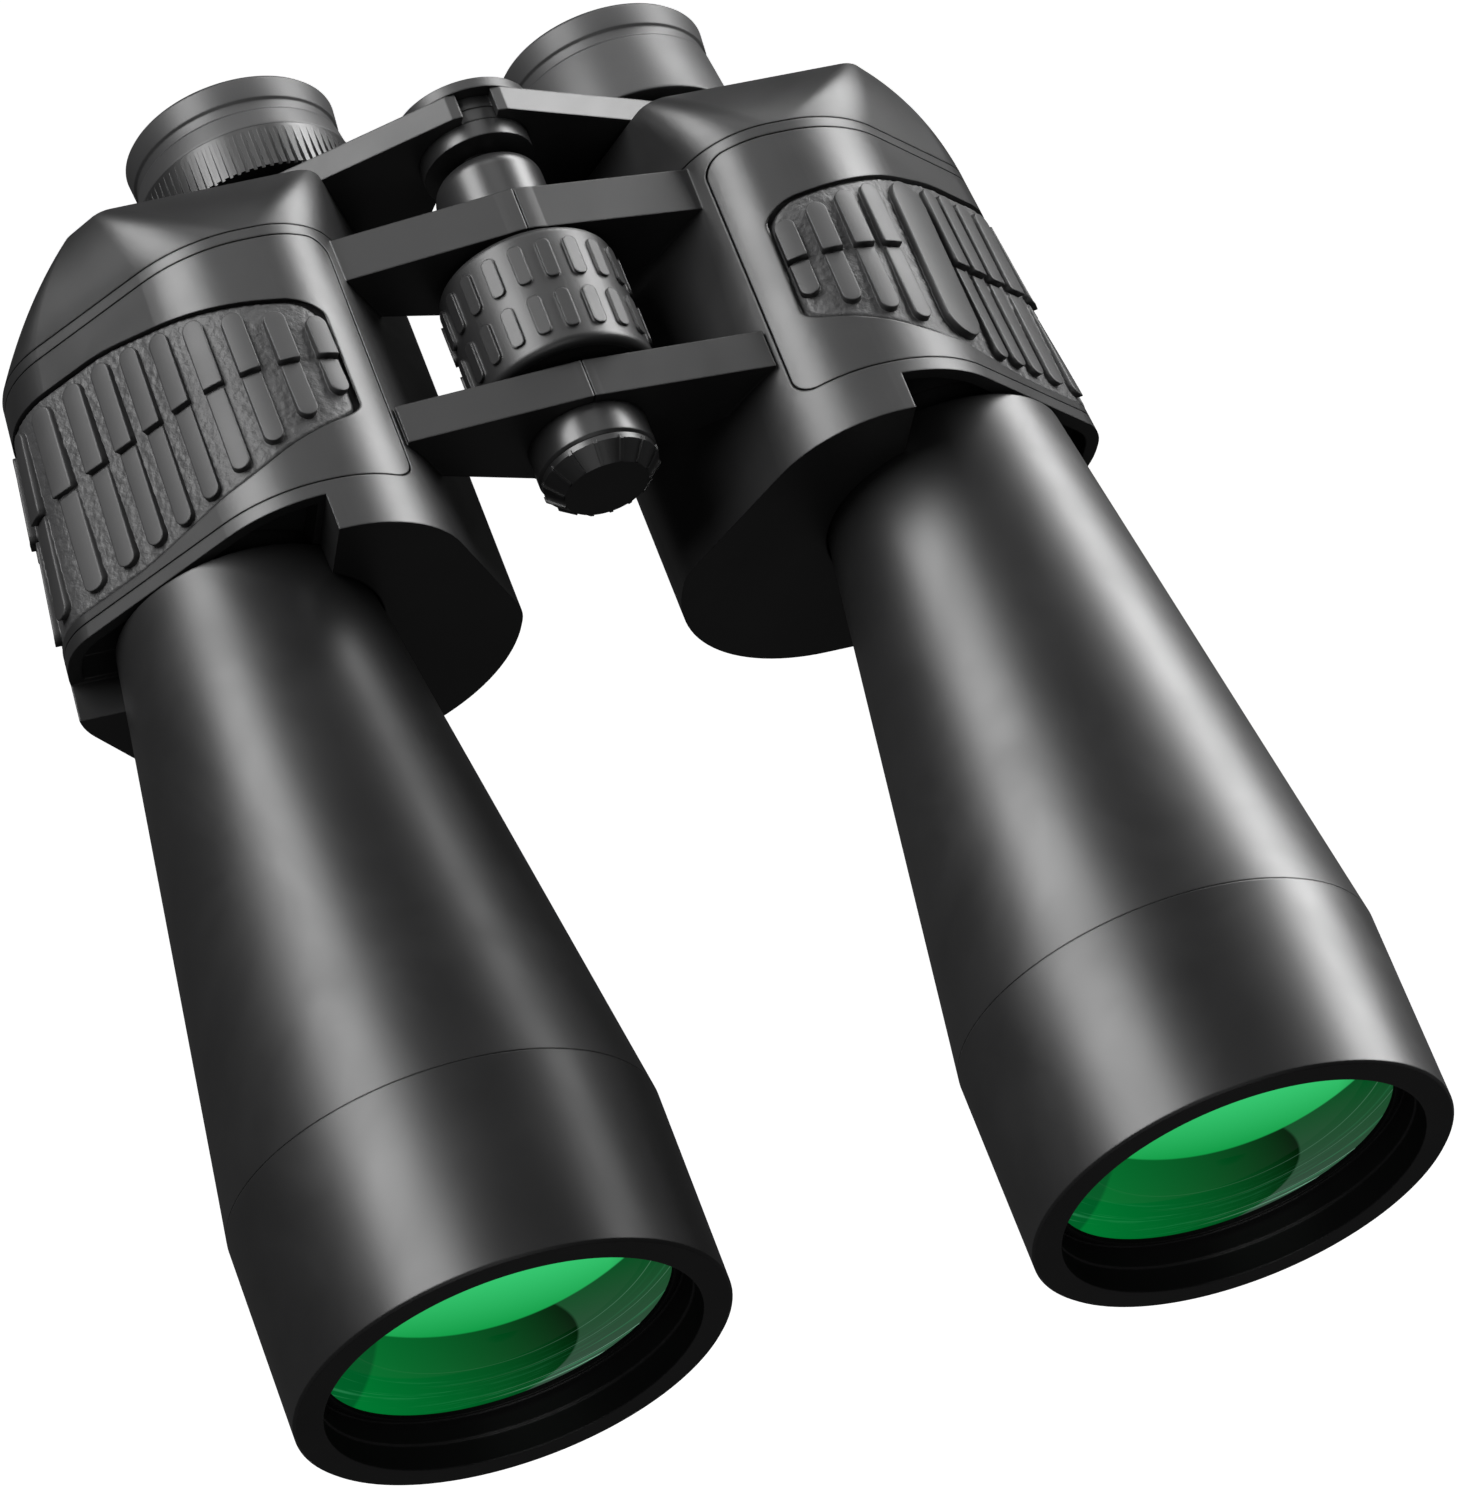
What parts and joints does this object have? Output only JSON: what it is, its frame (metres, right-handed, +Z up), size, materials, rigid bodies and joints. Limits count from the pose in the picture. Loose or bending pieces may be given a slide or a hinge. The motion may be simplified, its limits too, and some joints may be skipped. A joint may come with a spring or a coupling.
{
  "type": "astronomy binoculars",
  "caption": "Large Porro prism binoculars for astronomy, with a folding centre hinge, focus wheel, dioptre ring, eyecups and tripod socket.",
  "frame": {"origin": "mouth of the tripod socket, on the centre hinge axis", "axes": "+Y along the optical axes from the objectives to the eyepieces, +Z up towards the hinge side, +X to the user's left"},
  "size_m": [0.2198, 0.2705, 0.0842],
  "materials": {
    "body_paint": "satin charcoal paint",
    "arm_paint": "satin charcoal paint",
    "armour_rubber": "fine matt rubber",
    "grip_rubber": "pebbled rubber with smooth ribs",
    "wheel_rubber": "satin rubber",
    "cup_rubber": "soft matt rubber",
    "ring_plastic": "knurled black plastic",
    "satin_metal": "black anodised look",
    "inner_black": "anti-glare black",
    "coated_glass": "green anti-reflection coating",
    "eye_glass": "violet anti-reflection coating",
    "prism_glass": "polished optical glass",
    "screw_steel": "blackened steel",
    "spring_steel": "spring steel",
    "brass_bush": "turned brass"
  },
  "bodies": {
    "left_half": {"left_prism_housing": "body_paint", "left_armour": "armour_rubber", "left_grip_panel": "grip_rubber", "left_back_cover": "body_paint", "left_cover_screws": "screw_steel", "left_rear_prism": "prism_glass", "left_front_prism": "prism_glass", "left_prism_shelf": "inner_black", "left_shelf_screws": "screw_steel", "left_prism_clips": "spring_steel", "left_objective_hood": "body_paint", "left_objective_barrel": "body_paint", "left_crown_lens": "coated_glass", "left_flint_lens": "coated_glass", "left_lens_retainer": "inner_black", "left_barrel_baffle": "inner_black", "left_eyepiece_guide": "brass_bush", "hinge_axle": "satin_metal", "hinge_bush": "satin_metal"},
    "right_half": {"right_prism_housing": "body_paint", "right_armour": "armour_rubber", "right_grip_panel": "grip_rubber", "right_back_cover": "body_paint", "right_cover_screws": "screw_steel", "right_rear_prism": "prism_glass", "right_front_prism": "prism_glass", "right_prism_shelf": "inner_black", "right_shelf_screws": "screw_steel", "right_prism_clips": "spring_steel", "right_objective_hood": "body_paint", "right_objective_barrel": "body_paint", "right_crown_lens": "coated_glass", "right_flint_lens": "coated_glass", "right_lens_retainer": "inner_black", "right_barrel_baffle": "inner_black", "right_eyepiece_guide": "brass_bush"},
    "focus_wheel": {"focus_wheel_core": "inner_black", "focus_wheel_grip": "wheel_rubber"},
    "focus_screw": {"focus_rod": "satin_metal", "bridge_cap": "arm_paint"},
    "left_eyepiece": {"left_eyepiece_arm": "arm_paint", "left_field_lens": "eye_glass", "left_eye_lens": "eye_glass", "left_eyepiece_head": "inner_black", "left_eyecup": "cup_rubber"},
    "right_carriage": {"right_eyepiece_arm": "arm_paint", "right_field_lens": "eye_glass"},
    "right_lens_cell": {"dioptre_cell": "inner_black", "right_eye_lens": "eye_glass"},
    "dioptre": {"dioptre_ring": "ring_plastic", "right_eyecup": "cup_rubber"},
    "tripod_cap": {"tripod_cap": "ring_plastic"}
  },
  "joints": [
    {"name": "ipd_hinge", "type": "hinge", "parent": "left_half", "child": "right_half", "pos_m": [0, 0, 0], "axis": [0, -1, 0], "range_deg": [-1, 36]},
    {"name": "focus_screw_slide", "type": "slide", "parent": "left_half", "child": "focus_screw", "axis": [0, 1, 0], "range_m": [-0.0005, 0.008]},
    {"name": "focus_turn", "type": "hinge", "parent": "left_half", "child": "focus_wheel", "pos_m": [0, 0.034, 0], "axis": [0, 1, 0], "range_deg": [-26, 402]},
    {"name": "left_eyepiece_slide", "type": "slide", "parent": "left_half", "child": "left_eyepiece", "axis": [0, 1, 0], "range_m": [-0.0006, 0.0081]},
    {"name": "right_eyepiece_slide", "type": "slide", "parent": "right_half", "child": "right_carriage", "axis": [0, 1, 0], "range_m": [-0.0006, 0.0081]},
    {"name": "dioptre_slide", "type": "slide", "parent": "right_carriage", "child": "right_lens_cell", "axis": [0, 1, 0], "range_m": [-0.0014, 0.0014]},
    {"name": "dioptre_turn", "type": "hinge", "parent": "right_lens_cell", "child": "dioptre", "pos_m": [-0.0378, 0.09, -0.0227], "axis": [0, 1, 0], "range_deg": [-122, 122]},
    {"name": "cap_lift", "type": "slide", "parent": "left_half", "child": "tripod_cap", "axis": [0, -1, 0], "range_m": [0, 0.04]}
  ],
  "couplings": [
    {"joint": "focus_turn", "follows": "focus_screw_slide", "rad_per_m": 872.66},
    {"joint": "left_eyepiece_slide", "follows": "focus_screw_slide", "ratio": 1},
    {"joint": "right_eyepiece_slide", "follows": "focus_screw_slide", "ratio": 1},
    {"joint": "dioptre_turn", "follows": "dioptre_slide", "rad_per_m": 1496.1}
  ]
}
